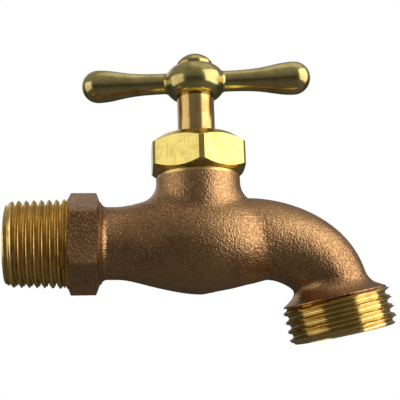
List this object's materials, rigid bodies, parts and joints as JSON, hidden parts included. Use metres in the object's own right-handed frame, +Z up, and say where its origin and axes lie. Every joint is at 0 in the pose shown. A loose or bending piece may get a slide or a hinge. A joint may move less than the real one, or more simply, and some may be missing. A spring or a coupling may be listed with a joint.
{
  "type": "hose bibb",
  "caption": "Wall-mounted hose tap: a T handle raises a stem off its seat, and water leaves by a threaded spout for a garden hose.",
  "frame": {"origin": "centre of the inlet nipple's end face, on the inlet's axis", "axes": "+X along the inlet from the wall to the spout, +Z up the stem to the handle, +Y across"},
  "size_m": [0.0943, 0.0268, 0.0738],
  "materials": {
    "cast_bronze": "rough cast, tumbled",
    "nut_brass": "milled flats, bright",
    "turned_brass": "turned",
    "stem_brass": "turned, satin",
    "handle_brass": "cast, satin",
    "screw_brass": "turned",
    "washer_rubber": "moulded",
    "graphite_packing": "pressed fibre"
  },
  "bodies": {
    "valve_body": {"body": "cast_bronze", "packing_nut": "nut_brass", "packing_follower": "turned_brass", "packing_base_washer": "turned_brass", "packing_ring_1": "graphite_packing", "packing_ring_2": "graphite_packing"},
    "washer_carrier": {"washer_holder": "turned_brass", "seat_washer": "washer_rubber", "washer_screw": "turned_brass"},
    "stem_and_handle": {"stem": "stem_brass", "handle": "handle_brass", "handle_screw": "screw_brass"}
  },
  "joints": [
    {"name": "valve_lift", "type": "slide", "parent": "valve_body", "child": "washer_carrier", "axis": [0, 0, 1], "range_m": [0, 0.00635]},
    {"name": "handle_turn", "type": "hinge", "parent": "washer_carrier", "child": "stem_and_handle", "pos_m": [0.04685, 0, 0], "axis": [0, 0, 1], "range_deg": [0, 900]}
  ],
  "couplings": [
    {"joint": "valve_lift", "follows": "handle_turn", "m_per_rad": 0.00040425}
  ]
}
